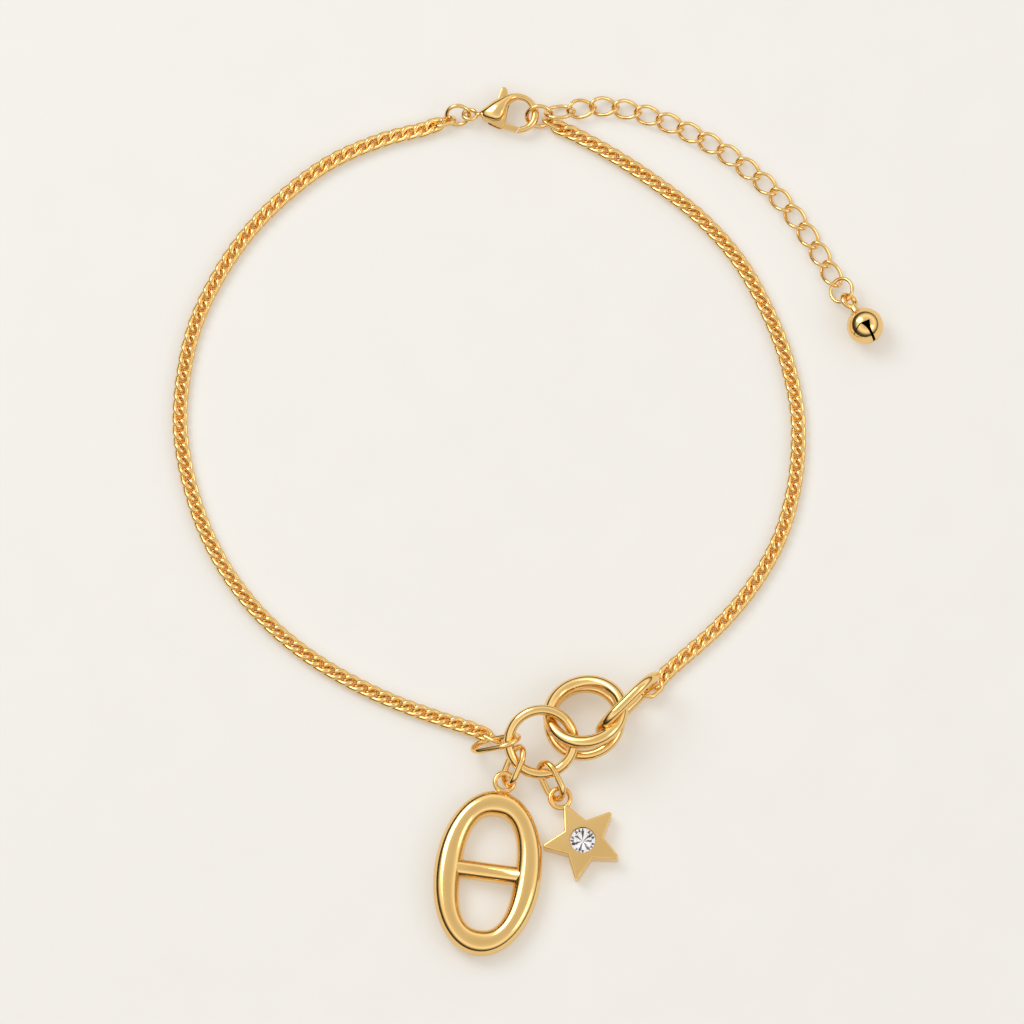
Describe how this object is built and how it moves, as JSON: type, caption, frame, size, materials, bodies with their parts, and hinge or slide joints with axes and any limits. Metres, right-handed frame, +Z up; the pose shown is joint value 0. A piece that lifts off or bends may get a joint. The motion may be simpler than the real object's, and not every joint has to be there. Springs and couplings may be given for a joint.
{
  "type": "charm bracelet",
  "caption": "Fine gold-plated curb-chain bracelet closed by a lobster clasp, with an extender and bell, a cluster of rings, a studded oval charm and a star charm with a clear stone.",
  "frame": {"origin": "on the surface that the bracelet lies on, under the middle of its overall box", "axes": "+Z up from the surface, +Y from the charms to the clasp, +X to the side of the extender chain"},
  "size_m": [0.0675, 0.085, 0.006],
  "materials": {
    "gold": "polished gold plating",
    "crystal": "clear, faceted and polished"
  },
  "bodies": {
    "bracelet": {"chain_left": "gold", "chain_right": "gold", "clasp_ring": "gold", "clasp_body": "gold", "end_ring": "gold", "extender_link_01": "gold", "extender_link_02": "gold", "extender_link_03": "gold", "extender_link_04": "gold", "extender_link_05": "gold", "extender_link_06": "gold", "extender_link_07": "gold", "extender_link_08": "gold", "extender_link_09": "gold", "extender_link_10": "gold", "extender_link_11": "gold", "extender_link_12": "gold", "extender_link_13": "gold", "extender_link_14": "gold", "extender_link_15": "gold", "extender_link_16": "gold", "bell_ring": "gold", "bell": "gold", "upper_ring": "gold", "lower_ring": "gold", "connector_link": "gold", "charm_ring": "gold", "side_link": "gold", "mariner_ring": "gold", "mariner_charm": "gold", "star_ring": "gold", "star_charm": "gold", "star_stone": "crystal"},
    "lever": {"clasp_lever": "gold"}
  },
  "joints": [
    {"name": "lever_turn", "type": "hinge", "parent": "bracelet", "child": "lever", "pos_m": [-0.00335, 0.03965, 0.00108], "axis": [0, 0, 1], "range_deg": [0, 20], "stiffness_Nm_per_rad": 0.002, "springref_deg": -5.73}
  ]
}
